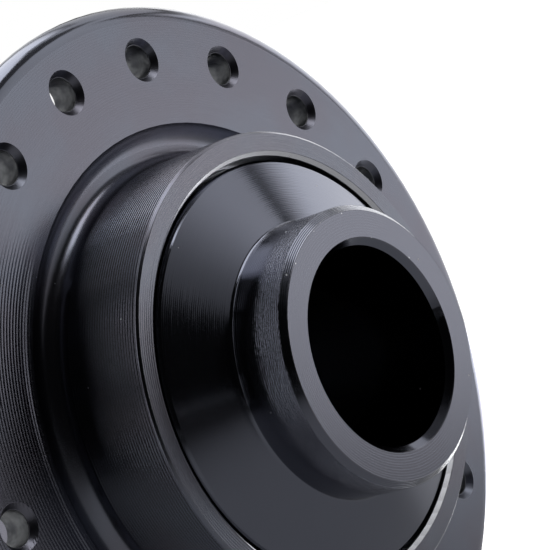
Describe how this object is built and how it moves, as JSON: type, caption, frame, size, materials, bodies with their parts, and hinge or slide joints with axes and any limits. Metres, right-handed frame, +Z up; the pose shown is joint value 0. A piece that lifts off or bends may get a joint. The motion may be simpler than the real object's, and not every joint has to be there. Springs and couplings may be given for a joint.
{
  "type": "bicycle front hub",
  "caption": "Front wheel hub with two drilled spoke flanges, a waisted barrel, cartridge ball bearings, pull-off conical end caps for a through axle and a bolt-on disc rotor mount.",
  "frame": {"origin": "on the axle line, midway between the two end faces", "axes": "+Y along the axle line towards the disc side, +Z up, +X the way the wheel rolls"},
  "size_m": [0.067, 0.1, 0.067],
  "materials": {
    "shell_anodised": "black anodised, turned",
    "cap_anodised": "black anodised, turned",
    "tube_anodised": "clear anodised",
    "ring_steel": "ground",
    "ball_steel": "polished",
    "cage_steel": "pressed, passivated",
    "seal_rubber": "moulded",
    "o_ring_rubber": "moulded, greased"
  },
  "bodies": {
    "axle": {"axle_tube": "tube_anodised", "right_bearing_inner_ring": "ring_steel", "left_bearing_inner_ring": "ring_steel"},
    "shell": {"hub_shell": "shell_anodised", "right_bearing_outer_ring": "ring_steel", "right_bearing_outer_seal": "seal_rubber", "right_bearing_inner_seal": "seal_rubber", "left_bearing_outer_ring": "ring_steel", "left_bearing_outer_seal": "seal_rubber", "left_bearing_inner_seal": "seal_rubber"},
    "right_ball_set": {"right_bearing_balls": "ball_steel", "right_bearing_rivets": "cage_steel", "right_cage_outer_half": "cage_steel", "right_cage_inner_half": "cage_steel"},
    "left_ball_set": {"left_bearing_balls": "ball_steel", "left_bearing_rivets": "cage_steel", "left_cage_outer_half": "cage_steel", "left_cage_inner_half": "cage_steel"},
    "right_cap": {"right_end_cap": "cap_anodised", "right_cap_o_ring": "o_ring_rubber"},
    "left_cap": {"left_end_cap": "cap_anodised", "left_cap_o_ring": "o_ring_rubber"}
  },
  "joints": [
    {"name": "hub_spin", "type": "hinge", "parent": "axle", "child": "shell", "pos_m": [0, 0, 0], "axis": [0, 1, 0], "continuous": true},
    {"name": "right_ball_orbit", "type": "hinge", "parent": "axle", "child": "right_ball_set", "pos_m": [0, -0.0362, 0], "axis": [0, 1, 0], "continuous": true},
    {"name": "left_ball_orbit", "type": "hinge", "parent": "axle", "child": "left_ball_set", "pos_m": [0, 0.0362, 0], "axis": [0, 1, 0], "continuous": true},
    {"name": "right_cap_pull", "type": "slide", "parent": "axle", "child": "right_cap", "axis": [0, -1, 0], "range_m": [0, 0.012]},
    {"name": "left_cap_pull", "type": "slide", "parent": "axle", "child": "left_cap", "axis": [0, 1, 0], "range_m": [0, 0.012]}
  ],
  "couplings": [
    {"joint": "right_ball_orbit", "follows": "hub_spin", "ratio": 0.56731},
    {"joint": "left_ball_orbit", "follows": "hub_spin", "ratio": 0.56731}
  ]
}
